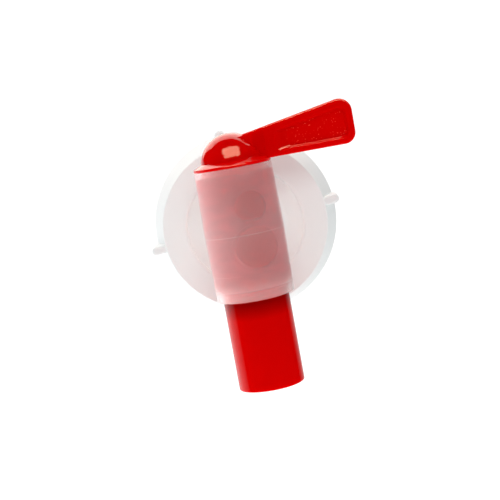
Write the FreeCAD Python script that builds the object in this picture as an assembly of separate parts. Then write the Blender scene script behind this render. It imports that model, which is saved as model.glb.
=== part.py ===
import FreeCAD, Part
import math
import os
from FreeCAD import Vector

# Vented turning tap for a canister, moulded in two colours, in millimetres.
# The origin is the centre of the screw cap's rear rim. +Y goes into the canister, +Z is up,
# and the tap's upright barrel stands in front of the cap, on the -Y side.
# At rest the tap is shut and its lever points along +X.

X_AXIS = Vector(1, 0, 0)
Y_AXIS = Vector(0, 1, 0)
Z_AXIS = Vector(0, 0, 1)

# Screw cap
cap_depth = 14.8
cap_rim_radius = 34.5
cap_flare = 3.9
cap_edge_round = 0.5
cap_face_thickness = 1.8
cap_face_overlap = 7.2
cap_opening_round = 1.2
cap_skirt_wall = 4.2
cap_seat_step = 0.9
cap_seat_depth = 4.6

# Lugs for a key, round the cap's skirt
lug_count = 4
lug_turn = 6.3
lug_width = 3.2
lug_proud = 1.7
lug_front_gap = 0.5
lug_end_round = 1.0

# Clamping flange of the tap body, behind the cap's face
flange_gap = 0.15
flange_side_gap = 0.8
flange_thickness = 1.7
washer_thickness = 2.0
washer_width = 6.0
washer_inner_gap = 0.2
centring_ring_wall = 1.5
centring_ring_height = 2.6

# Barrel and neck of the tap body
barrel_axis_distance = 38.7
barrel_top = 23.4
barrel_bottom = 23.0
barrel_end_radius = 13.75
barrel_swell = 0.45
barrel_wall = 1.65
barrel_edge_round = 0.5
bore_foot_height = 3.4
bore_head_height = 2.3
bore_step = 0.65
bore_flare = 0.2
neck_inset = 0.2
neck_wall = 2.0
neck_root_round = 2.0
passage_web_thickness = 1.6

# Snap bead of the plug, which hooks under the step at the foot of the bore
snap_gap = 0.2
snap_bead_proud = 0.4
snap_bead_height = 1.5
snap_bead_flat = 0.4

# Plug
plug_gap = 0.7
plug_wall = 1.5
bead_gap = 0.07
bead_width = 0.95
bead_sink = 0.3
foot_land_gap = 0.4
foot_land_height = 5.2
head_land_gap = 0.7
head_land_height = 4.5
window_turn = -70.0
liquid_window_radius = 7.3
liquid_window_level = -4.9
air_window_radius = 5.4
air_window_level = 9.4

# Air duct inside the plug and the spout
duct_floor_thickness = 1.2
duct_wall_thickness = 1.4
duct_wall_offset = 4.4
duct_wall_recess = 3.0

# Spout
spout_drop = 32.4
spout_shoulder_drop = 0.5
spout_gap = 0.35
spout_edge_round = 0.5

# Flange and dome on top of the plug
top_flange_gap = 0.05
top_flange_overhang = 0.05
top_flange_thickness = 0.95
top_flange_edge_round = 0.3
top_flange_ledge = 2.9
top_flange_slope = 25.0
dome_wall = 1.6

# Lever
lever_reach = 44.4
lever_thickness = 5.0
lever_web_thickness = 2.2
lever_tip_height = 16.9
lever_top_slope = 10.4
lever_sink = 0.2
lever_lower_corner = 4.0
lever_upper_corner = 4.5
lever_edge_round = 0.7
lever_rim_top = 2.8
lever_rim_bottom = 1.9
lever_rim_tip = 2.1
lever_recess_gap = 1.0
lever_recess_corner = 3.0
lever_recess_end_corner = 1.8
lever_recess_draft = 0.9
lever_recess_start_draft = 4.5
lever_root_sink = 2.9
lever_root_half_width = 5.4
lever_root_run = 1.4
lever_root_hollow = 1.1

# Radii that follow from the sizes above
cap_front_radius = cap_rim_radius - cap_flare
cap_thread_radius = cap_rim_radius - cap_skirt_wall
cap_seat_radius = cap_thread_radius - cap_seat_step
flange_radius = cap_seat_radius - flange_side_gap
cap_opening_radius = flange_radius - cap_face_overlap
washer_inner_radius = flange_radius - washer_width
lug_tip_radius = cap_rim_radius + lug_proud
barrel_middle_radius = barrel_end_radius + barrel_swell
neck_radius = barrel_middle_radius - neck_inset
bore_radius = barrel_end_radius - barrel_wall
bore_step_radius = bore_radius + bore_step
bore_mouth_radius = bore_step_radius + bore_flare
bead_radius = bore_radius - bead_gap
plug_radius = bore_radius - plug_gap
plug_bore_radius = plug_radius - plug_wall
spout_radius = bore_radius - spout_gap
top_flange_radius = barrel_end_radius + top_flange_overhang
dome_radius = top_flange_radius - top_flange_ledge
lever_root_start = dome_radius - lever_root_sink
lever_root_end = top_flange_radius + lever_root_run
lever_recess_start = lever_root_end + lever_recess_gap

# Levels and places that follow from the sizes above
barrel_y = -barrel_axis_distance
barrel_axis = Vector(0, barrel_y, 0)
face_y = -cap_depth
face_back_y = face_y + cap_face_thickness
flange_front_y = face_back_y + flange_gap
flange_back_y = flange_front_y + flange_thickness
thread_end_y = face_back_y + cap_seat_depth
spout_end_z = -barrel_bottom - spout_drop
flange_under_z = barrel_top + top_flange_gap
flange_top_z = flange_under_z + top_flange_thickness
bore_foot_z = -barrel_bottom + bore_foot_height
bore_head_z = barrel_top - bore_head_height
foot_land_low_z = bore_foot_z + foot_land_gap
head_land_low_z = bore_head_z - head_land_gap - head_land_height
lever_low_z = flange_top_z - lever_sink
between_windows_z = (liquid_window_level + liquid_window_radius + air_window_level - air_window_radius) / 2
far = 200.0


def turned(profile, centre, axis):
    """Turn a closed profile of (radius, height) points round an axis through centre."""
    across = X_AXIS
    points = [centre + across * radius + axis * height for radius, height in profile]
    face = Part.Face(Part.makePolygon(points + points[:1]))
    return face.revolve(centre, axis, 360)


def rounded_outline(corners, place):
    """Wire of straight runs with a round of its own at each (x, z, radius) corner."""
    edges = []
    stops = []
    count = len(corners)
    for number, (x, z, radius) in enumerate(corners):
        here = Vector(x, 0, z)
        before = Vector(corners[number - 1][0], 0, corners[number - 1][1]) - here
        after = Vector(corners[(number + 1) % count][0], 0, corners[(number + 1) % count][1]) - here
        before.normalize()
        after.normalize()
        half = math.acos(max(-1.0, min(1.0, before.dot(after)))) / 2
        if radius <= 0:
            stops.append((here, None, here))
            continue
        back = radius / math.tan(half)
        middle = before + after
        middle.normalize()
        deepest = here + middle * (radius / math.sin(half) - radius)
        stops.append((here + before * back, deepest, here + after * back))
    for number, (start, deepest, end) in enumerate(stops):
        if deepest is not None:
            edges.append(Part.Arc(start, deepest, end).toShape())
        next_start = stops[(number + 1) % count][0]
        edges.append(Part.LineSegment(end, next_start).toShape())
    wire = Part.Wire(edges)
    wire.translate(place)
    return wire


def edges_where(shape, test):
    return [edge for edge in shape.Edges if test(edge)]


def is_ring(edge, radius, height, axis, centre):
    """True for a full circle of this radius at this height along the axis."""
    curve = edge.Curve
    if not isinstance(curve, Part.Circle):
        return False
    level = (curve.Center - centre).dot(axis)
    return abs(curve.Radius - radius) < 0.01 and abs(level - height) < 0.01


def round_rings(shape, rings, size, axis, centre):
    """Round the circular edges named by their (radius, height)."""
    chosen = edges_where(shape, lambda e: any(is_ring(e, r, h, axis, centre) for r, h in rings))
    return shape.makeFillet(size, chosen)


# Screw cap


def cap_outside():
    """The cap's flared cone and flat face, with the opening for the barrel's neck."""
    profile = [
        (cap_opening_radius, 0),
        (cap_opening_radius, face_y),
        (cap_front_radius, face_y),
        (cap_rim_radius, 0),
    ]
    outside = turned(profile, Vector(0, 0, 0), Y_AXIS)
    outside = round_rings(outside, [(cap_front_radius, face_y)], cap_edge_round, Y_AXIS, Vector(0, 0, 0))
    opening = [(cap_opening_radius, face_y)]
    return round_rings(outside, opening, cap_opening_round, Y_AXIS, Vector(0, 0, 0))


def cap_inside():
    """The room behind the face: a seat for the clamping flange, then the canister's thread."""
    profile = [
        (0, face_back_y),
        (cap_seat_radius, face_back_y),
        (cap_seat_radius, thread_end_y),
        (cap_thread_radius, thread_end_y),
        (cap_thread_radius, 0),
        (0, 0),
    ]
    return turned(profile, Vector(0, 0, 0), Y_AXIS)


def cap_lug(angle):
    """One axial bar with a round back, standing out of the skirt."""
    front_y = face_y + lug_front_gap
    length = -front_y
    root_radius = cap_seat_radius
    tip_centre = lug_tip_radius - lug_width / 2
    bar = Part.makeBox(tip_centre - root_radius, length, lug_width, Vector(root_radius, front_y, -lug_width / 2))
    back = Part.makeCylinder(lug_width / 2, length, Vector(tip_centre, front_y, 0), Y_AXIS)
    lug = bar.fuse(back).removeSplitter()
    front_edges = edges_where(lug, lambda e: all(abs(v.Point.y - front_y) < 0.01 for v in e.Vertexes)
                              and e.CenterOfMass.x > root_radius + 0.1)
    lug = lug.makeFillet(lug_end_round, front_edges)
    lug.rotate(Vector(0, 0, 0), Y_AXIS, -angle)
    return lug


def make_screw_cap():
    cap = cap_outside()
    for number in range(lug_count):
        cap = cap.fuse(cap_lug(lug_turn + number * 360.0 / lug_count))
    return cap.cut(cap_inside()).removeSplitter()


# Washer


def make_sealing_washer():
    profile = [
        (washer_inner_radius, flange_back_y),
        (flange_radius, flange_back_y),
        (flange_radius, flange_back_y + washer_thickness),
        (washer_inner_radius, flange_back_y + washer_thickness),
    ]
    return turned(profile, Vector(0, 0, 0), Y_AXIS)


# Tap body


def barrel_outside():
    profile = [
        (0, -barrel_bottom),
        (barrel_end_radius, -barrel_bottom),
        (barrel_middle_radius, 0),
        (barrel_end_radius, barrel_top),
        (0, barrel_top),
    ]
    barrel = turned(profile, barrel_axis, Z_AXIS)
    foot = [(barrel_end_radius, -barrel_bottom)]
    return round_rings(barrel, foot, barrel_edge_round, Z_AXIS, barrel_axis)


def neck_outside():
    length = flange_front_y - barrel_y
    neck = Part.makeCylinder(neck_radius, length, barrel_axis, Y_AXIS)
    flange = Part.makeCylinder(flange_radius, flange_thickness, Vector(0, flange_front_y, 0), Y_AXIS)
    joined = neck.fuse(flange)
    return round_rings(joined, [(neck_radius, flange_front_y)], neck_root_round, Y_AXIS, Vector(0, 0, 0))


def centring_ring():
    outside = washer_inner_radius - washer_inner_gap
    profile = [
        (outside - centring_ring_wall, flange_back_y),
        (outside, flange_back_y),
        (outside, flange_back_y + centring_ring_height),
        (outside - centring_ring_wall, flange_back_y + centring_ring_height),
    ]
    return turned(profile, Vector(0, 0, 0), Y_AXIS)


def bore():
    """The bore, with a wider foot that the snap bead hooks into and a wider head."""
    profile = [
        (0, -barrel_bottom),
        (bore_mouth_radius, -barrel_bottom),
        (bore_step_radius, bore_foot_z),
        (bore_radius, bore_foot_z),
        (bore_radius, bore_head_z),
        (bore_step_radius, bore_head_z),
        (bore_mouth_radius, barrel_top),
        (0, barrel_top),
    ]
    return turned(profile, barrel_axis, Z_AXIS)


def neck_passage(low_z, high_z):
    """The part of the neck's round channel between two levels."""
    length = flange_back_y - barrel_y
    channel = Part.makeCylinder(neck_radius - neck_wall, length, barrel_axis, Y_AXIS)
    slab = Part.makeBox(far, far, high_z - low_z, Vector(-far / 2, barrel_y, low_z))
    return channel.common(slab)


def make_tap_body():
    web_low = between_windows_z - passage_web_thickness / 2
    body = barrel_outside().fuse(neck_outside()).fuse(centring_ring())
    body = body.cut(bore())
    body = body.cut(neck_passage(-neck_radius, web_low))
    body = body.cut(neck_passage(web_low + passage_web_thickness, neck_radius))
    return body.removeSplitter()


# Plug with lever and spout


def plug_shell():
    """Plug and spout in one turned tube, closed at the top by the hollow dome."""
    snap_high = bore_foot_z - snap_gap
    snap_radius = bead_radius + snap_bead_proud
    shoulder_z = -barrel_bottom - spout_shoulder_drop
    slope_end_radius = dome_radius - dome_wall / 2
    slope_rise = (top_flange_radius - slope_end_radius) * math.tan(math.radians(top_flange_slope))
    outside = [
        (0, spout_end_z),
        (spout_radius, spout_end_z),
        (spout_radius, shoulder_z),
        (plug_radius, shoulder_z),
        (plug_radius, snap_high - snap_bead_height),
        (snap_radius, snap_high - snap_bead_flat),
        (snap_radius, snap_high),
        (plug_radius, snap_high),
        (plug_radius, flange_under_z),
        (top_flange_radius, flange_under_z),
        (top_flange_radius, flange_top_z),
        (slope_end_radius, flange_top_z + slope_rise),
        (0, flange_top_z + slope_rise),
    ]
    shell = turned(outside, barrel_axis, Z_AXIS)
    shell = round_rings(shell, [(spout_radius, spout_end_z)], spout_edge_round, Z_AXIS, barrel_axis)
    edge = [(top_flange_radius, flange_under_z), (top_flange_radius, flange_top_z)]
    shell = round_rings(shell, edge, top_flange_edge_round, Z_AXIS, barrel_axis)
    dome = Part.makeSphere(dome_radius, barrel_axis + Z_AXIS * flange_top_z, Z_AXIS, 0, 90, 360)
    return shell.fuse(dome)


def plug_hollow():
    """The space inside the spout, the plug and the dome."""
    inner_dome = dome_radius - dome_wall
    straight = [
        (0, spout_end_z),
        (plug_bore_radius, spout_end_z),
        (plug_bore_radius, flange_under_z - plug_wall),
        (inner_dome, flange_top_z),
        (0, flange_top_z),
    ]
    hollow = turned(straight, barrel_axis, Z_AXIS)
    dome = Part.makeSphere(inner_dome, barrel_axis + Z_AXIS * flange_top_z, Z_AXIS, 0, 90, 360)
    return hollow.fuse(dome)


def window_direction():
    angle = math.radians(window_turn)
    return Vector(math.cos(angle), math.sin(angle), 0)


def window_rod(radius, level):
    """A round rod from the plug's axis out through one window."""
    start = barrel_axis + Z_AXIS * level
    return Part.makeCylinder(radius, bore_radius + 2, start, window_direction())


def bead_layer():
    """The thin skin round the plug, out of which the sealing beads are cut."""
    height = barrel_top + barrel_bottom
    start = barrel_axis - Z_AXIS * barrel_bottom
    outside = Part.makeCylinder(bead_radius, height, start, Z_AXIS)
    return outside.cut(Part.makeCylinder(plug_radius - bead_sink, height, start, Z_AXIS))


def window_bead(radius, level):
    rod = window_rod(radius + bead_width, level)
    return bead_layer().common(rod)


def land(low_z, height):
    """Close-fitting band round the plug, up from a level."""
    band = Part.makeCylinder(bore_radius, height, barrel_axis + Z_AXIS * low_z, Z_AXIS)
    return bead_layer().common(band)


def air_duct():
    """Floor between the windows, and the wall that parts the air duct from the liquid."""
    floor_low = between_windows_z - duct_floor_thickness / 2
    inside = Part.makeCylinder(plug_bore_radius + bead_sink, far, barrel_axis + Z_AXIS * spout_end_z, Z_AXIS)
    wall_low = spout_end_z + duct_wall_recess
    wall_x = -duct_wall_offset - duct_wall_thickness
    wall_height = floor_low + duct_floor_thickness - wall_low
    wall = Part.makeBox(duct_wall_thickness, far, wall_height, Vector(wall_x, -far / 2, wall_low))
    floor = Part.makeBox(far, far, duct_floor_thickness, Vector(wall_x, -far / 2, floor_low))
    duct = wall.fuse(floor)
    duct.rotate(Vector(0, 0, 0), Z_AXIS, window_turn)
    duct.translate(barrel_axis)
    return duct.common(inside)


def lever_top(x):
    """Height of the lever's sloping top edge above a point on the lever."""
    slope = math.tan(math.radians(lever_top_slope))
    return lever_low_z + lever_tip_height - (lever_reach - x) * slope


def lever_outline(start, inset_bottom, inset_top, inset_tip, lower_round, upper_round, start_round):
    tip = lever_reach - inset_tip
    return [
        (start, lever_low_z + inset_bottom, start_round),
        (tip, lever_low_z + inset_bottom, lower_round),
        (tip, lever_top(tip) - inset_top, upper_round),
        (start, lever_top(start) - inset_top, start_round),
    ]


def lever_plate():
    half = lever_thickness / 2
    corners = lever_outline(0, 0, 0, 0, lever_lower_corner, lever_upper_corner, 0)
    wire = rounded_outline(corners, Vector(0, barrel_y - half, 0))
    plate = Part.Face(wire).extrude(Y_AXIS * lever_thickness)
    rim_edges = edges_where(plate, lambda e: abs(e.Length - lever_thickness) > 0.01
                            and e.CenterOfMass.x > 1)
    return plate.makeFillet(lever_edge_round, rim_edges)


def lever_recess(side):
    """One of the two shallow pockets, with drafted walls, that leave the web between them."""
    depth = (lever_thickness - lever_web_thickness) / 2
    wires = []
    for inward, shrink, slant in ((0, 0, 0), (depth, lever_recess_draft, lever_recess_start_draft)):
        corners = lever_outline(lever_recess_start + slant, lever_rim_bottom + shrink, lever_rim_top + shrink,
                                lever_rim_tip + shrink, lever_recess_corner - shrink, lever_recess_corner - shrink,
                                lever_recess_end_corner - shrink)
        y = barrel_y + side * (lever_thickness / 2 - inward)
        wires.append(rounded_outline(corners, Vector(0, y, 0)))
    return Part.makeLoft(wires, True, True)


def lever_root():
    """Hollow-sided root between the dome and the lever's plate."""
    half = lever_thickness / 2
    run = Vector(lever_root_end - lever_root_start, half - lever_root_half_width, 0)
    sag = Vector(run.y, -run.x, 0).normalize() * lever_root_hollow
    middle = Vector(lever_root_start, lever_root_half_width, 0) + run / 2 + sag
    waist_x = middle.x
    waist_half = middle.y
    edges = [
        Part.LineSegment(Vector(0, -lever_root_half_width, 0), Vector(lever_root_start, -lever_root_half_width, 0)),
        Part.Arc(Vector(lever_root_start, -lever_root_half_width, 0), Vector(waist_x, -waist_half, 0),
                 Vector(lever_root_end, -half, 0)),
        Part.LineSegment(Vector(lever_root_end, -half, 0), Vector(lever_root_end, half, 0)),
        Part.Arc(Vector(lever_root_end, half, 0), Vector(waist_x, waist_half, 0),
                 Vector(lever_root_start, lever_root_half_width, 0)),
        Part.LineSegment(Vector(lever_root_start, lever_root_half_width, 0), Vector(0, lever_root_half_width, 0)),
        Part.LineSegment(Vector(0, lever_root_half_width, 0), Vector(0, -lever_root_half_width, 0)),
    ]
    plan = Part.Wire([edge.toShape() for edge in edges])
    column = Part.Face(plan).extrude(Z_AXIS * dome_radius * 2)
    column.translate(barrel_axis + Z_AXIS * lever_low_z)
    corners = lever_outline(0, 0, lever_edge_round / 2, 0, 0, 0, 0)
    wire = rounded_outline(corners, Vector(0, barrel_y - dome_radius, 0))
    side = Part.Face(wire).extrude(Y_AXIS * dome_radius * 2)
    return column.common(side)


def make_lever():
    plate = lever_plate()
    for side in (-1, 1):
        plate = plate.cut(lever_recess(side))
    return plate.fuse(lever_root())


def make_rotary_plug():
    plug = plug_shell()
    for bead in (land(head_land_low_z, head_land_height), land(foot_land_low_z, foot_land_height),
                 window_bead(liquid_window_radius, liquid_window_level),
                 window_bead(air_window_radius, air_window_level)):
        plug = plug.fuse(bead)
    plug = plug.fuse(make_lever())
    plug = plug.cut(plug_hollow())
    plug = plug.cut(window_rod(liquid_window_radius, liquid_window_level))
    plug = plug.cut(window_rod(air_window_radius, air_window_level))
    plug = plug.fuse(air_duct())
    return plug.removeSplitter()


def main():
    os.makedirs("parts", exist_ok=True)
    nodes = {
        "tap_body": make_tap_body(),
        "screw_cap": make_screw_cap(),
        "sealing_washer": make_sealing_washer(),
        "rotary_plug": make_rotary_plug(),
    }
    for name, shape in nodes.items():
        solid = shape.Solids[0] if len(shape.Solids) == 1 else shape
        solid.exportStep(os.path.join("parts", name + ".step"))
        print(name, "solids", len(shape.Solids), "valid", solid.isValid(), "cm3", round(solid.Volume / 1000, 2))


main()
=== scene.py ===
# Vented canister tap in milky natural plastic and glossy red plastic.
# Sizes are in metres, in the same frame as the solids: the origin is the centre of the cap's rear rim,
# +Y goes into the canister and +Z is up.
import math

import bmesh
import bpy
from mathutils import Matrix, Vector


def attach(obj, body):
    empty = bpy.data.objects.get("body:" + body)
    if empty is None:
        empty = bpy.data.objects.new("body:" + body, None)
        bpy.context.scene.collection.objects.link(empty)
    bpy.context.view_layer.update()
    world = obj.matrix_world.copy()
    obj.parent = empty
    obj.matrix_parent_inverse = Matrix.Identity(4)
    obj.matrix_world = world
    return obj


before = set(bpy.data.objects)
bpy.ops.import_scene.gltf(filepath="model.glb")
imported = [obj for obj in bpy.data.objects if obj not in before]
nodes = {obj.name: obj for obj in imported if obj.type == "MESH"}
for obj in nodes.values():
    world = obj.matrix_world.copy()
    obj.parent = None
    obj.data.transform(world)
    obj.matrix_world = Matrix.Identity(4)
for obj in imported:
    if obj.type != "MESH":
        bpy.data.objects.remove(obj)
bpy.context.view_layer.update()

MM = 0.001
WHITE = (1, 1, 1, 1)

# Camera, fitted to the outlines in the photograph: angles in radians, lens and sensor in millimetres
CAMERA_AZIMUTH = 0.03
CAMERA_ELEVATION = 0.1088
CAMERA_ROLL = 0.1811
CAMERA_DISTANCE = 492.28 * MM
CAMERA_TARGET = Vector((0.2156, -20.0, -8.7083)) * MM
CAMERA_LENS = 96.58
CAMERA_SENSOR = 36.0
CAMERA_NEAREST = 0.01
CAMERA_FARTHEST = 20

# Sizes of the solids, as the part's source has them
BARREL_MIDDLE = Vector((0, -38.7, 0)) * MM
BARREL_MIDDLE_RADIUS = 14.2 * MM
BARREL_BOTTOM_Z = -23.0 * MM
BORE_MOUTH_RADIUS = 12.95 * MM
BORE_HEAD_Z = 21.1 * MM
BORE_FOOT_Z = -19.6 * MM
PLUG_RADIUS = 11.4 * MM
BEAD_RADIUS = 12.03 * MM
CAP_FACE_Y = -14.8 * MM
FLANGE_FRONT_Y = -12.85 * MM
NECK_RADIUS = 14.0 * MM
NECK_ROOT_ROUND = 2.0 * MM

# Where one finish gives way to the next, a little clear of the faces that it tells apart
HOLLOW_RADIUS = 10.2 * MM
KNOB_UNDERSIDE_Z = 23.3 * MM
SKIRT_RADIUS = 29.3 * MM
SKIRT_FRONT_Y = CAP_FACE_Y + 0.4 * MM
FLANGE_RADIUS = NECK_RADIUS * 0.99
FLANGE_ROOT_Y = FLANGE_FRONT_Y - NECK_ROOT_ROUND

# Canister thread inside the cap, with its foot sunk 0.1 mm into the cap's wall
THREAD_FOOT_RADIUS = 30.4 * MM
THREAD_CREST_RADIUS = 29.2 * MM
THREAD_PITCH = 4.0 * MM
THREAD_TURNS = 1.5
THREAD_START_Y = -1.3 * MM
THREAD_FOOT_HALF = 1.0 * MM
THREAD_CREST_HALF = 0.45 * MM
THREAD_STEPS_PER_TURN = 96
THREAD_FADE_STEPS = 8
THREAD_LEAST_SHARE = 0.1

# Witness line round the front of the barrel: angles in degrees
WITNESS_START = 170
WITNESS_SWEEP = 200
WITNESS_STEPS = 72
WITNESS_SUNK = 0.2 * MM
WITNESS_PROUD = 0.01 * MM
WITNESS_FOOT_HALF = 0.045 * MM
WITNESS_CREST_HALF = 0.02 * MM

# Pale floor, which bends up into a back wall
FLOOR_Z = -0.13
FLOOR_FRONT_Y = -1.6
FLOOR_BEND_Y = 0.9
FLOOR_BEND_RADIUS = 0.5
FLOOR_BEND_STEPS = 12
FLOOR_WALL_TOP_Z = 2.0
FLOOR_HALF_WIDTH = 2.5
FLOOR_GREY = (0.72, 0.72, 0.72, 1)
FLOOR_ROUGHNESS = 0.9
FLOOR_GLOW = 0.62

# Softboxes round the barrel. Azimuth 0 is the camera's side and 90 is +X, and all angles are in degrees.
# Shine is the brightness in reflections, with a colour of its own, and light is what falls on the tap.
SOFTBOX_DISTANCE = 0.62
# Power that Blender's area light takes for each square metre and step of brightness
POWER_FOR_BRIGHTNESS = 4
SOFTBOXES = (
    {"name": "front_softbox", "azimuth": 9, "elevation": 49, "wide": 56, "high": 40,
     "shine": 6.8, "shine_colour": (1, 0.67, 0.45), "light": 0.9},
    {"name": "back_softbox", "azimuth": 174, "elevation": 44, "wide": 94, "high": 56,
     "shine": 2.3, "shine_colour": (1, 0.85, 0.77), "light": 0.3},
    {"name": "low_softbox", "azimuth": 4, "elevation": 24, "wide": 24, "high": 18, "light": 3.9},
)

# Light of the white room, by the side that it comes from
ROOM_RIGHT_BACK_TOP = (0.3, 0.0, 1.15)
ROOM_LEFT_FRONT_BOTTOM = (0.4, 0.05, 1.8)
ROOM_COLOUR = (0.8, 0.8, 0.8, 1)
# The camera sees plain white where the floor ends
BACKDROP_BRIGHTNESS = 1.1

# White wall behind the tap, by the direction of the ray. An edge says where the wall starts and where it is
# full: its sides along the wall's way, and its top by height.
WALL_WAY = (-0.3, 1.0, 0.0)
WALL_SIDE_EDGE = (0.23, 0.31)
WALL_TOP_EDGE = (0.3, 0.2)
# How bright it is from its left to its right, as light and as a mirror image in glossy faces
WALL_LEFT_TO_RIGHT = (-0.7, 0.7)
WALL_LIGHT = (1.7, 0.3)
WALL_MIRRORED = (1.25, 0.7)
# The mirror image is only of the wall's lower part, and fades towards its sides
WALL_MIRRORED_UP = (0, -0.35, 1)
WALL_MIRRORED_TOP_EDGE = (-0.05, -0.12)
WALL_MIRRORED_SIDE_EDGE = (0.1, 0.9)

# Light from the left that acts only on rays that have passed through a surface, as those of the barrel do
MILK_LIGHT_WAY = (-0.98, 0.17, 0.0)
MILK_LIGHT = 1.1

# Fine relief of a surface: the noise that it follows, how strongly it shows and how high it is
RED_PEEL = ({"Scale": 180, "Detail": 2, "Roughness": 0.5}, 0.12, 0.25 * MM)
RED_MARKS = ({"Scale": 1400, "Detail": 3, "Roughness": 0.6}, 0.05, 0.06 * MM)
NATURAL_PEEL = ({"Scale": 150, "Detail": 2, "Roughness": 0.5}, 0.1, 0.3 * MM)
FOAM_PORES = ({"Scale": 2200, "Detail": 3, "Roughness": 0.7}, 0.4, 0.15 * MM)

# Natural plastic of the barrel
NATURAL_TINT = (1, 0.99, 0.985, 1)
NATURAL_BLUR = 0.24
NATURAL_IOR = 1.45
MILK_DENSITY = 430.0
MILK_COLOUR = (0.982, 0.985, 0.985, 1)
MILK_AHEAD = 0.2
# The real plug presses on the bore. A low index there stands in for that contact.
BORE_IOR = 1.1
CONTACT_SIDE_EDGE = (BORE_MOUTH_RADIUS + 0.05 * MM, BORE_MOUTH_RADIUS + 0.15 * MM)
CONTACT_HEAD_EDGE = (BORE_HEAD_Z - 0.3 * MM, BORE_HEAD_Z)
CONTACT_FOOT_EDGE = (BORE_FOOT_Z + 3.0 * MM, BORE_FOOT_Z)

# Natural plastic of the cap and the clamping flange
CAP_COLOUR = (0.955, 0.97, 0.965, 1)
CAP_GLOW = 0.04
# Painted shade: the skirt's copy of the cap plastic, greyer, with a slightly stronger glow
SKIRT_PAINTED_SHADE_COLOUR = (0.9, 0.915, 0.915, 1)
SKIRT_GLOW = 0.055
CAP_GLOW_COLOUR = (0.85, 1, 1, 1)
CAP_ROUGHNESS = 0.5
CAP_IOR = 1.5
CAP_SHINE = 0.2
CAP_CLEARNESS = 0.02
CAP_SHEER = 0.05
CAP_SHEER_COLOUR = (0.99, 0.985, 0.98, 1)

FOAM_COLOUR = (0.93, 0.925, 0.915, 1)
FOAM_ROUGHNESS = 0.75

# Red plastic, outside and in its hollow. The hollow's lighter red and weak glow are painted light, for the
# light that comes through the red wall.
RED_OUTSIDE = 0.72
RED_INSIDE_PAINTED_LIGHTER = 0.85
RED_REST = 0.0004
RED_GLOW_COLOUR = (1, 0, 0, 1)
RED_ROUGHNESS = 0.08
RED_IOR = 1.49
RED_LIGHT_DEPTH = 3.0 * MM
RED_LIGHT_DEPTH_BY_COLOUR = (1.0, 0.05, 0.05)
# Painted glow of the hollow, for light through the red wall
INSIDE_PAINTED_GLOW = 0.02
# Painted glints: lighter specks in patches on the floor of the lever's recess, for a fine grain that catches
# the light: how far they reach aside, and where they start
SPECK_ASIDE_EDGE = (1.3 * MM, 1.235 * MM)
SPECK_ALONG_EDGE = (17.0 * MM, 20.4 * MM)
SPECK_PAINTED_GLINT_COLOUR = (0.9, 0.07, 0.05, 1)
SPECK_CELLS = 1100
SPECK_EDGE = (0.32, 0.12)
SPECK_PATCHES = {"Scale": 300, "Detail": 1, "Roughness": 0.5}
SPECK_PATCH_EDGE = (0.42, 0.56)
# Painted shade: a deeper red on the spout just under the barrel, for the shade that the barrel casts there
SPOUT_PAINTED_SHADE_RED = 0.25
SPOUT_PAINTED_SHADE_LOWER_EDGE = (BARREL_BOTTOM_Z - 7.0 * MM, BARREL_BOTTOM_Z)
SPOUT_PAINTED_SHADE_UPPER_EDGE = (BARREL_BOTTOM_Z + 1.0 * MM, BARREL_BOTTOM_Z)

# Red plastic in the bore: free of the wall, touching it in streaks and spots, and where the bore is wider.
# Its glow, darker where it touches, is painted light for the light that reaches the plug through the milky
# wall.
FREE_RED = (0.5, 0.03, 0.04, 1)
TOUCHING_RED = (0.38, 0.01, 0.015, 1)
SPOT_RED = 0.5
WIDE_RED = (0.62, 0.2, 0.18, 1)
IN_BORE_PAINTED_GLOW = 0.15
FREE_PAINTED_GLOW_COLOUR = (1, 0.13, 0.15, 1)
TOUCHING_PAINTED_GLOW_COLOUR = (0.78, 0.05, 0.06, 1)
SPOT_PAINTED_GLOW_COLOUR = (1.1, 0.0, 0.0, 1)
STREAK_SQUEEZE = (1, 1, 2.5)
STREAKS = {"Scale": 130, "Detail": 3}
STREAK_EDGE = (0.42, 0.6)
SPOT_CELLS = 130
SPOT_EDGE = (0.24, 0.14)
WIDE_HEAD_EDGE = (BORE_HEAD_Z - 0.1 * MM, BORE_HEAD_Z)
WIDE_FOOT_EDGE = (BORE_FOOT_Z + 6.0 * MM, BORE_FOOT_Z - 2.0 * MM)
WIDE_FOOT_SHARE = 0.6

# Layout of the nodes on Blender's sheet
NODE_COLUMN = 240
NODE_ROW = 260

# The Mix node has sockets for each kind of value, and these are the numbers of the ones for colours
MIX_FIRST = 6
MIX_SECOND = 7
MIX_RESULT = 2

# How far Cycles follows the light, with glossy paths unblurred and stray bright dots held down
LIGHT_PATH_LIMITS = {
    "max_bounces": 32,
    "diffuse_bounces": 12,
    "glossy_bounces": 8,
    "transmission_bounces": 24,
    "volume_bounces": 12,
    "blur_glossy": 0.0,
    "sample_clamp_indirect": 10.0,
}


# Nodes

def feed(tree, socket, value):
    """Link a socket to another one, or set it to a plain value."""
    if isinstance(value, bpy.types.NodeSocket):
        tree.links.new(value, socket)
    else:
        socket.default_value = value


def add(tree, kind, sockets=None, **settings):
    """Make a node with these settings, and feed the sockets that are named or numbered."""
    node = tree.nodes.new(kind)
    for key, value in settings.items():
        setattr(node, key, value)
    for key, value in (sockets or {}).items():
        feed(tree, node.inputs[key], value)
    return node


def calculate(tree, operation, first, *others):
    """Work out a function of one value, or take two or more values together, one after the other."""
    if not others:
        return add(tree, "ShaderNodeMath", {0: first}, operation=operation).outputs[0]
    for value in others:
        first = add(tree, "ShaderNodeMath", {0: first, 1: value}, operation=operation).outputs[0]
    return first


def dot_with(tree, socket, weights):
    dot = add(tree, "ShaderNodeVectorMath", {0: socket, 1: weights}, operation="DOT_PRODUCT")
    return dot.outputs["Value"]


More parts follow.
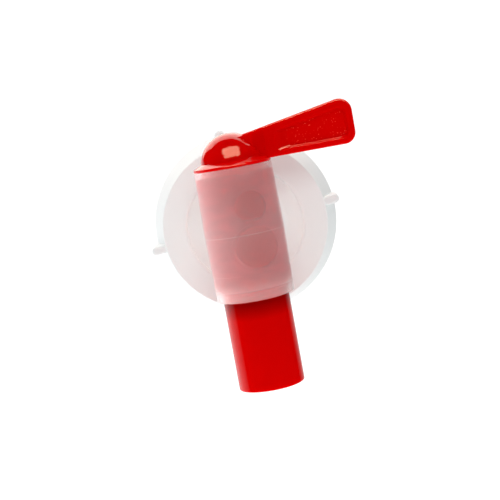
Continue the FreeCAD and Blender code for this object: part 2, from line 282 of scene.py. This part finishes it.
def step_up(tree, socket, edge, span=(0.0, 1.0)):
    """Go from the first value of the span to the second while the socket crosses the edge."""
    sockets = {
        "Value": socket,
        "From Min": edge[0],
        "From Max": edge[1],
        "To Min": span[0],
        "To Max": span[1],
    }
    return add(tree, "ShaderNodeMapRange", sockets).outputs[0]


def mix_colour(tree, share, first, second):
    sockets = {0: share, MIX_FIRST: first, MIX_SECOND: second}
    return add(tree, "ShaderNodeMix", sockets, data_type="RGBA").outputs[MIX_RESULT]


def point_on_part(tree):
    return add(tree, "ShaderNodeTexCoord").outputs["Object"]


def place_on_part(tree):
    """Sockets with the x, y and z of the point on the part."""
    return add(tree, "ShaderNodeSeparateXYZ", {0: point_on_part(tree)}).outputs[:]


def noise_on_part(tree, settings):
    return add(tree, "ShaderNodeTexNoise", {"Vector": point_on_part(tree), **settings}).outputs["Fac"]


def cells_on_part(tree, scale):
    """Distance of the point from the middle of the cell that it is in."""
    cells = add(tree, "ShaderNodeTexVoronoi", {"Vector": point_on_part(tree), "Scale": scale})
    return cells.outputs["Distance"]


def from_barrel_axis(tree, x, y):
    """Distance of the point from the barrel's axis."""
    forward = calculate(tree, "SUBTRACT", y, BARREL_MIDDLE.y)
    squares = (calculate(tree, "MULTIPLY", x, x), calculate(tree, "MULTIPLY", forward, forward))
    return calculate(tree, "SQRT", calculate(tree, "ADD", *squares))


def lay_out(tree):
    """Stand the nodes in columns, each to the left of what it feeds."""
    column = {node.name: 0 for node in tree.nodes}
    for _ in tree.nodes:
        for link in tree.links:
            one_further = column[link.to_node.name] + 1
            column[link.from_node.name] = max(column[link.from_node.name], one_further)
    filled = {}
    for node in tree.nodes:
        place = column[node.name]
        row = filled.get(place, 0)
        filled[place] = row + 1
        node.location = (-NODE_COLUMN * place, -NODE_ROW * row)


# Materials

def new_material(name):
    material = bpy.data.materials.new(name)
    material.use_nodes = True
    tree = material.node_tree
    tree.nodes.clear()
    return material, tree


def principled(tree, **sockets):
    """Blender's main shader. Its sockets are named here with _ for each space."""
    named = {key.replace("_", " "): value for key, value in sockets.items()}
    return add(tree, "ShaderNodeBsdfPrincipled", named)


def add_relief(tree, shader, *layers):
    """Fine relief in layers, each on top of the one before."""
    normal = None
    for noise, strength, height in layers:
        sockets = {"Height": noise_on_part(tree, noise), "Strength": strength, "Distance": height}
        if normal is not None:
            sockets["Normal"] = normal
        normal = add(tree, "ShaderNodeBump", sockets).outputs["Normal"]
    feed(tree, shader.inputs["Normal"], normal)


def finish_material(tree, surface, volume=None):
    """Send the surface, and the volume where there is one, to the material's output."""
    sockets = {"Surface": surface.outputs[0]}
    if volume is not None:
        sockets["Volume"] = volume.outputs[0]
    add(tree, "ShaderNodeOutputMaterial", sockets)
    lay_out(tree)


def pure_red(strength):
    """Red with next to no green and blue."""
    return (strength, RED_REST, RED_REST, 1)


def red_shader(tree, colour, glow):
    """Glossy red plastic that lets some light through, with faint orange peel and fine handling marks."""
    shader = principled(tree, Base_Color=colour, Roughness=RED_ROUGHNESS, IOR=RED_IOR,
                        Emission_Color=RED_GLOW_COLOUR, Emission_Strength=glow,
                        Subsurface_Weight=1.0, Subsurface_Scale=RED_LIGHT_DEPTH,
                        Subsurface_Radius=RED_LIGHT_DEPTH_BY_COLOUR)
    add_relief(tree, shader, RED_PEEL, RED_MARKS)
    return shader


def recess_painted_glints(tree, x, y):
    """Share of the painted glints, lighter specks which are only on the floor of the lever's recess."""
    aside = calculate(tree, "ABSOLUTE", calculate(tree, "SUBTRACT", y, BARREL_MIDDLE.y))
    on_web = step_up(tree, aside, SPECK_ASIDE_EDGE)
    on_lever = step_up(tree, x, SPECK_ALONG_EDGE)
    speck = step_up(tree, cells_on_part(tree, SPECK_CELLS), SPECK_EDGE)
    patch = step_up(tree, noise_on_part(tree, SPECK_PATCHES), SPECK_PATCH_EDGE)
    return calculate(tree, "MULTIPLY", speck, patch, on_web, on_lever)


def painted_shade_atop_spout(tree, z):
    """Share of the painted shade, a deeper red that grows up to the barrel's lower rim."""
    lower = step_up(tree, z, SPOUT_PAINTED_SHADE_LOWER_EDGE)
    upper = step_up(tree, z, SPOUT_PAINTED_SHADE_UPPER_EDGE)
    return calculate(tree, "MULTIPLY", lower, upper)


def red_material(name, strength, glow):
    """Red moulding, with painted glints as lighter specks in the lever's recess and painted shade as a deeper
    red at the top of the spout.
    """
    material, tree = new_material(name)
    shader = red_shader(tree, pure_red(strength), glow)
    x, y, z = place_on_part(tree)
    # Painted glints: lighter specks on the floor of the lever's recess
    colour = mix_colour(tree, recess_painted_glints(tree, x, y), pure_red(strength), SPECK_PAINTED_GLINT_COLOUR)
    # Painted shade: deeper red on the spout just under the barrel
    colour = mix_colour(tree, painted_shade_atop_spout(tree, z), colour, pure_red(SPOUT_PAINTED_SHADE_RED))
    feed(tree, shader.inputs["Base Color"], colour)
    finish_material(tree, shader)
    return material


def streaks_in_bore(tree):
    """Share of the streaks where the plug wets the bore, squeezed along the barrel."""
    squeezed = add(tree, "ShaderNodeMapping", {"Vector": point_on_part(tree), "Scale": STREAK_SQUEEZE})
    streaks = add(tree, "ShaderNodeTexNoise", {"Vector": squeezed.outputs[0], **STREAKS})
    return step_up(tree, streaks.outputs["Fac"], STREAK_EDGE)


def wide_in_bore(tree, z):
    """Share of the paler red where the bore is wider: all of it at the head, and some towards the foot."""
    head = step_up(tree, z, WIDE_HEAD_EDGE)
    foot = step_up(tree, z, WIDE_FOOT_EDGE, (0.0, WIDE_FOOT_SHARE))
    return calculate(tree, "MAXIMUM", head, foot)


def red_in_bore_material():
    """The plug as it shows through the barrel: blotched where it touches the bore, paler where it doesn't,
    with a painted glow for the light that reaches it through the milky wall.
    """
    material, tree = new_material("red_plastic_in_bore")
    shader = red_shader(tree, FREE_RED, IN_BORE_PAINTED_GLOW)
    x, y, z = place_on_part(tree)
    touching = streaks_in_bore(tree)
    spot = step_up(tree, cells_on_part(tree, SPOT_CELLS), SPOT_EDGE)
    bead = step_up(tree, from_barrel_axis(tree, x, y), (PLUG_RADIUS, BEAD_RADIUS))
    colour = mix_colour(tree, touching, FREE_RED, TOUCHING_RED)
    colour = mix_colour(tree, spot, colour, pure_red(SPOT_RED))
    colour = mix_colour(tree, wide_in_bore(tree, z), colour, WIDE_RED)
    dark = calculate(tree, "MAXIMUM", touching, bead)
    # Painted glow: light through the milky wall, darker where the plug touches the bore
    glow = mix_colour(tree, dark, FREE_PAINTED_GLOW_COLOUR, TOUCHING_PAINTED_GLOW_COLOUR)
    glow = mix_colour(tree, spot, glow, SPOT_PAINTED_GLOW_COLOUR)
    feed(tree, shader.inputs["Base Color"], colour)
    feed(tree, shader.inputs["Emission Color"], glow)
    finish_material(tree, shader)
    return material


def natural_material():
    """Natural polyethylene of the barrel: a blur at its surfaces, and milky all through the wall."""
    material, tree = new_material("natural_plastic")
    shader = principled(tree, Base_Color=NATURAL_TINT, Roughness=NATURAL_BLUR, IOR=NATURAL_IOR,
                        Transmission_Weight=1.0)
    x, y, z = place_on_part(tree)
    outside = step_up(tree, from_barrel_axis(tree, x, y), CONTACT_SIDE_EDGE)
    above = step_up(tree, z, CONTACT_HEAD_EDGE)
    below = step_up(tree, z, CONTACT_FOOT_EDGE)
    apart = calculate(tree, "MAXIMUM", outside, above, below)
    feed(tree, shader.inputs["IOR"], step_up(tree, apart, (0.0, 1.0), (BORE_IOR, NATURAL_IOR)))
    add_relief(tree, shader, NATURAL_PEEL)
    sockets = {"Color": MILK_COLOUR, "Density": MILK_DENSITY, "Anisotropy": MILK_AHEAD}
    finish_material(tree, shader, add(tree, "ShaderNodeVolumeScatter", sockets))
    return material


def cap_material(name, colour, glow):
    """Natural polyethylene where it is thick enough to look white.

    It scatters light back and lets a little through, and its weak glow stands for more that comes through.
    """
    material, tree = new_material(name)
    shader = principled(tree, Base_Color=colour, Roughness=CAP_ROUGHNESS, IOR=CAP_IOR,
                        Specular_IOR_Level=CAP_SHINE, Transmission_Weight=CAP_CLEARNESS,
                        Emission_Color=CAP_GLOW_COLOUR, Emission_Strength=glow)
    add_relief(tree, shader, NATURAL_PEEL)
    sheer = add(tree, "ShaderNodeBsdfTranslucent", {"Color": CAP_SHEER_COLOUR})
    sockets = {0: CAP_SHEER, 1: shader.outputs[0], 2: sheer.outputs[0]}
    finish_material(tree, add(tree, "ShaderNodeMixShader", sockets))
    return material


def washer_material():
    """Matt white foam with fine pores."""
    material, tree = new_material("washer_foam")
    shader = principled(tree, Base_Color=FOAM_COLOUR, Roughness=FOAM_ROUGHNESS)
    add_relief(tree, shader, FOAM_PORES)
    finish_material(tree, shader)
    return material


# Finishes on the solids

def dress(node, material):
    """Give a solid its material and smooth shading."""
    piece = nodes[node]
    piece.data.materials.clear()
    piece.data.materials.append(material)
    for polygon in piece.data.polygons:
        polygon.use_smooth = True
    return piece


def part_the_plug(plug, inside, in_bore):
    """A finish for the hollow, painted lighter and glowing for the light that comes through the red wall, and
    one for the part in the bore, with a painted glow of its own.
    """
    plug.data.materials.append(inside)
    plug.data.materials.append(in_bore)
    for polygon in plug.data.polygons:
        beside = polygon.center - BARREL_MIDDLE
        height = beside.z
        beside.z = 0
        if beside.length < HOLLOW_RADIUS and height < KNOB_UNDERSIDE_Z:
            polygon.material_index = 1
        elif BARREL_BOTTOM_Z < height < KNOB_UNDERSIDE_Z:
            polygon.material_index = 2


def finish_behind(piece, material, front_y, least_radius):
    """Another finish for what lies behind a plane and outside a radius round the thread's axis."""
    piece.data.materials.append(material)
    for polygon in piece.data.polygons:
        beside = Vector((polygon.center.x, 0, polygon.center.z))
        if polygon.center.y > front_y and beside.length > least_radius:
            polygon.material_index = 1


# Added pieces

def swept_piece(name, rings, material, body):
    """A solid swept through rings of corner points, riding on a body."""
    mesh = bpy.data.meshes.new(name)
    sheet = bmesh.new()
    rows = [[sheet.verts.new(point) for point in ring] for ring in rings]
    for low, high in zip(rows, rows[1:]):
        for number in range(len(low)):
            after = (number + 1) % len(low)
            sheet.faces.new((low[number], low[after], high[after], high[number]))
    sheet.faces.new(list(reversed(rows[0])))
    sheet.faces.new(rows[-1])
    bmesh.ops.recalc_face_normals(sheet, faces=sheet.faces)
    sheet.to_mesh(mesh)
    sheet.free()
    piece = bpy.data.objects.new(name, mesh)
    bpy.context.scene.collection.objects.link(piece)
    mesh.materials.append(material)
    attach(piece, body)


def canister_thread(material):
    """Right-hand thread ridge on the wall inside the cap, fading out at both ends."""
    steps = int(THREAD_TURNS * THREAD_STEPS_PER_TURN)
    rings = []
    for number in range(steps + 1):
        turn = math.tau * number / THREAD_STEPS_PER_TURN
        share = min(1.0, number / THREAD_FADE_STEPS, (steps - number) / THREAD_FADE_STEPS)
        share = max(share, THREAD_LEAST_SHARE)
        crest = THREAD_FOOT_RADIUS + (THREAD_CREST_RADIUS - THREAD_FOOT_RADIUS) * share
        middle = THREAD_START_Y - THREAD_PITCH * number / THREAD_STEPS_PER_TURN
        profile = (
            (THREAD_FOOT_RADIUS, -THREAD_FOOT_HALF),
            (crest, -THREAD_CREST_HALF),
            (crest, THREAD_CREST_HALF),
            (THREAD_FOOT_RADIUS, THREAD_FOOT_HALF),
        )
        rings.append([(radius * math.cos(turn), middle + aside, radius * math.sin(turn))
                      for radius, aside in profile])
    swept_piece("canister_thread", rings, material, "screw_cap")


def witness_line(material):
    """Hair line that the mould left round the front of the barrel at its middle."""
    profile = (
        (BARREL_MIDDLE_RADIUS - WITNESS_SUNK, -WITNESS_FOOT_HALF),
        (BARREL_MIDDLE_RADIUS + WITNESS_PROUD, -WITNESS_CREST_HALF),
        (BARREL_MIDDLE_RADIUS + WITNESS_PROUD, WITNESS_CREST_HALF),
        (BARREL_MIDDLE_RADIUS - WITNESS_SUNK, WITNESS_FOOT_HALF),
    )
    rings = []
    for number in range(WITNESS_STEPS + 1):
        turn = math.radians(WITNESS_START + WITNESS_SWEEP * number / WITNESS_STEPS)
        rings.append([(radius * math.cos(turn), BARREL_MIDDLE.y + radius * math.sin(turn), height)
                      for radius, height in profile])
    swept_piece("witness_line", rings, material, "tap_body")


# Camera, lights and surroundings

def make_camera():
    """Camera at the photograph's angle, turned about its own axis as the photograph is."""
    back = Vector((
        math.sin(CAMERA_AZIMUTH) * math.cos(CAMERA_ELEVATION),
        -math.cos(CAMERA_AZIMUTH) * math.cos(CAMERA_ELEVATION),
        math.sin(CAMERA_ELEVATION),
    ))
    right = (-back).cross(Vector((0, 0, 1))).normalized()
    up = right.cross(-back)
    tilted_right = right * math.cos(CAMERA_ROLL) - up * math.sin(CAMERA_ROLL)
    tilted_up = right * math.sin(CAMERA_ROLL) + up * math.cos(CAMERA_ROLL)
    data = bpy.data.cameras.new("camera")
    data.lens = CAMERA_LENS
    data.sensor_width = CAMERA_SENSOR
    data.clip_start = CAMERA_NEAREST
    data.clip_end = CAMERA_FARTHEST
    camera = bpy.data.objects.new("camera", data)
    turn = Matrix((tilted_right, tilted_up, back)).transposed().to_4x4()
    camera.matrix_world = Matrix.Translation(CAMERA_TARGET + back * CAMERA_DISTANCE) @ turn
    bpy.context.scene.collection.objects.link(camera)
    bpy.context.scene.camera = camera


def hide_from(thing, *rays):
    """Keep a light or the floor out of these kinds of light path."""
    for ray in rays:
        setattr(thing, "visible_" + ray, False)


def area_light(name, place, width, height, brightness, colour=(1, 1, 1)):
    """Rectangle of this brightness that faces the barrel."""
    data = bpy.data.lights.new(name, "AREA")
    data.shape = "RECTANGLE"
    data.size = width
    data.size_y = height
    data.energy = POWER_FOR_BRIGHTNESS * width * height * brightness
    data.color = colour
    light = bpy.data.objects.new(name, data)
    light.location = place
    light.rotation_euler = (BARREL_MIDDLE - place).to_track_quat("-Z", "Y").to_euler()
    bpy.context.scene.collection.objects.link(light)
    return light


def length_seen(angle):
    """Length that fills this many degrees at the softboxes' distance."""
    return 2 * SOFTBOX_DISTANCE * math.tan(math.radians(angle / 2))


def make_lights():
    """Softboxes: one light for the light that each sheds, and one for its shine where it has any."""
    for softbox in SOFTBOXES:
        turn = math.radians(softbox["azimuth"])
        rise = math.radians(softbox["elevation"])
        away = Vector((
            math.sin(turn) * math.cos(rise),
            -math.cos(turn) * math.cos(rise),
            math.sin(rise),
        ))
        place = BARREL_MIDDLE + away * SOFTBOX_DISTANCE
        width = length_seen(softbox["wide"])
        height = length_seen(softbox["high"])
        name = softbox["name"]
        if "shine" in softbox:
            glint = area_light(name + "_shine", place, width, height, softbox["shine"],
                               softbox["shine_colour"])
            hide_from(glint, "diffuse", "transmission", "volume_scatter", "camera")
        light = area_light(name, place, width, height, softbox["light"])
        hide_from(light, "glossy", "camera")


def wall_light(tree, way, mirrored, lit):
    """The white wall behind the tap, as glossy faces mirror it and as it lights all else."""
    toward = dot_with(tree, way, WALL_WAY)
    across = dot_with(tree, way, (1, 0, 0))
    height = dot_with(tree, way, (0, 0, 1))
    image = calculate(tree, "MULTIPLY", mirrored,
                      step_up(tree, dot_with(tree, way, WALL_MIRRORED_UP), WALL_MIRRORED_TOP_EDGE),
                      step_up(tree, toward, WALL_MIRRORED_SIDE_EDGE),
                      step_up(tree, across, WALL_LEFT_TO_RIGHT, WALL_MIRRORED))
    light = calculate(tree, "MULTIPLY", lit, step_up(tree, across, WALL_LEFT_TO_RIGHT, WALL_LIGHT))
    return calculate(tree, "MULTIPLY", calculate(tree, "ADD", image, light),
                     step_up(tree, toward, WALL_SIDE_EDGE), step_up(tree, height, WALL_TOP_EDGE))


def room_light(tree, way, lit):
    """Light of the room from its six sides, which glossy faces don't mirror."""
    opposite = add(tree, "ShaderNodeVectorMath", {0: way, "Scale": -1.0}, operation="SCALE").outputs[0]
    shares = []
    for socket, weights in ((way, ROOM_RIGHT_BACK_TOP), (opposite, ROOM_LEFT_FRONT_BOTTOM)):
        ahead = add(tree, "ShaderNodeVectorMath", {0: socket, 1: (0, 0, 0)}, operation="MAXIMUM").outputs[0]
        shares.append(dot_with(tree, ahead, weights))
    return calculate(tree, "MULTIPLY", calculate(tree, "ADD", *shares), lit)


def milk_light(tree, way, through):
    """Light from the left, only for rays that have passed through a surface."""
    from_left = calculate(tree, "MAXIMUM", dot_with(tree, way, MILK_LIGHT_WAY), 0.0)
    return calculate(tree, "MULTIPLY", from_left, MILK_LIGHT, through)


def make_world():
    """White room and wall, which light the tap but leave most of the shine to the softboxes."""
    world = bpy.data.worlds.new("studio")
    bpy.context.scene.world = world
    world.use_nodes = True
    tree = world.node_tree
    tree.nodes.clear()
    way = add(tree, "ShaderNodeTexCoord").outputs["Generated"]
    path = add(tree, "ShaderNodeLightPath")
    through = path.outputs["Is Transmission Ray"]
    not_through = calculate(tree, "SUBTRACT", 1.0, through)
    mirrored = calculate(tree, "MULTIPLY", path.outputs["Is Glossy Ray"], not_through)
    lit = calculate(tree, "SUBTRACT", 1.0, mirrored)
    strength = calculate(tree, "ADD", wall_light(tree, way, mirrored, lit), room_light(tree, way, lit),
                         milk_light(tree, way, through))
    around = add(tree, "ShaderNodeBackground", {"Color": ROOM_COLOUR, "Strength": strength})
    seen = add(tree, "ShaderNodeBackground", {"Color": WHITE, "Strength": BACKDROP_BRIGHTNESS})
    sockets = {0: path.outputs["Is Camera Ray"], 1: around.outputs[0], 2: seen.outputs[0]}
    mixed = add(tree, "ShaderNodeMixShader", sockets)
    add(tree, "ShaderNodeOutputWorld", {"Surface": mixed.outputs[0]})
    lay_out(tree)


def floor_profile():
    """The floor from the side, as y and z: flat, then a quarter circle up into the wall."""
    profile = [(FLOOR_FRONT_Y, FLOOR_Z), (FLOOR_BEND_Y, FLOOR_Z)]
    for step in range(1, FLOOR_BEND_STEPS + 1):
        angle = math.radians(90 * step / FLOOR_BEND_STEPS)
        y = FLOOR_BEND_Y + FLOOR_BEND_RADIUS * math.sin(angle)
        z = FLOOR_Z + FLOOR_BEND_RADIUS * (1 - math.cos(angle))
        profile.append((y, z))
    profile.append((FLOOR_BEND_Y + FLOOR_BEND_RADIUS, FLOOR_WALL_TOP_Z))
    return profile


def make_floor():
    """Pale floor that curves up into a back wall, so that no horizon shows.

    Only the camera and the milk in the barrel see it, and it keeps no light from the tap.
    """
    mesh = bpy.data.meshes.new("floor")
    sheet = bmesh.new()
    rows = []
    for y, z in floor_profile():
        rows.append([sheet.verts.new((x, y, z)) for x in (-FLOOR_HALF_WIDTH, FLOOR_HALF_WIDTH)])
    for low, high in zip(rows, rows[1:]):
        sheet.faces.new((low[0], low[1], high[1], high[0]))
    sheet.to_mesh(mesh)
    sheet.free()
    for polygon in mesh.polygons:
        polygon.use_smooth = True
    floor = bpy.data.objects.new("floor", mesh)
    bpy.context.scene.collection.objects.link(floor)
    material, tree = new_material("pale_floor")
    shader = principled(tree, Base_Color=FLOOR_GREY, Roughness=FLOOR_ROUGHNESS,
                        Emission_Color=WHITE, Emission_Strength=FLOOR_GLOW)
    finish_material(tree, shader)
    mesh.materials.append(material)
    hide_from(floor, "glossy", "diffuse", "transmission", "shadow")


plug = dress("rotary_plug", red_material("red_plastic", RED_OUTSIDE, 0.0))
# The hollow's finish is painted lighter and glows: painted light for what comes through the red wall
part_the_plug(plug, red_material("red_plastic_inside_painted_light", RED_INSIDE_PAINTED_LIGHTER, INSIDE_PAINTED_GLOW), red_in_bore_material())
cap_plastic = cap_material("cap_plastic", CAP_COLOUR, CAP_GLOW)
# A greyer copy of the cap's plastic, painted shade for the skirt
skirt_painted_shade_plastic = cap_material("cap_skirt_plastic", SKIRT_PAINTED_SHADE_COLOUR, SKIRT_GLOW)
# The clamping flange, which the washer backs, looks as white as the cap
body = dress("tap_body", natural_material())
finish_behind(body, cap_plastic, FLANGE_ROOT_Y, FLANGE_RADIUS)
# The skirt gets a greyer copy of the cap's plastic with a slightly stronger glow: painted shade that makes it
# a shade greyer than the cap's face
cap = dress("screw_cap", cap_plastic)
finish_behind(cap, skirt_painted_shade_plastic, SKIRT_FRONT_Y, SKIRT_RADIUS)
canister_thread(cap_plastic)
witness_line(cap_plastic)
dress("sealing_washer", washer_material())

make_camera()
make_world()
make_lights()
make_floor()

scene = bpy.context.scene
scene.view_settings.view_transform = "Standard"
scene.view_settings.look = "None"
for setting, value in LIGHT_PATH_LIMITS.items():
    setattr(scene.cycles, setting, value)
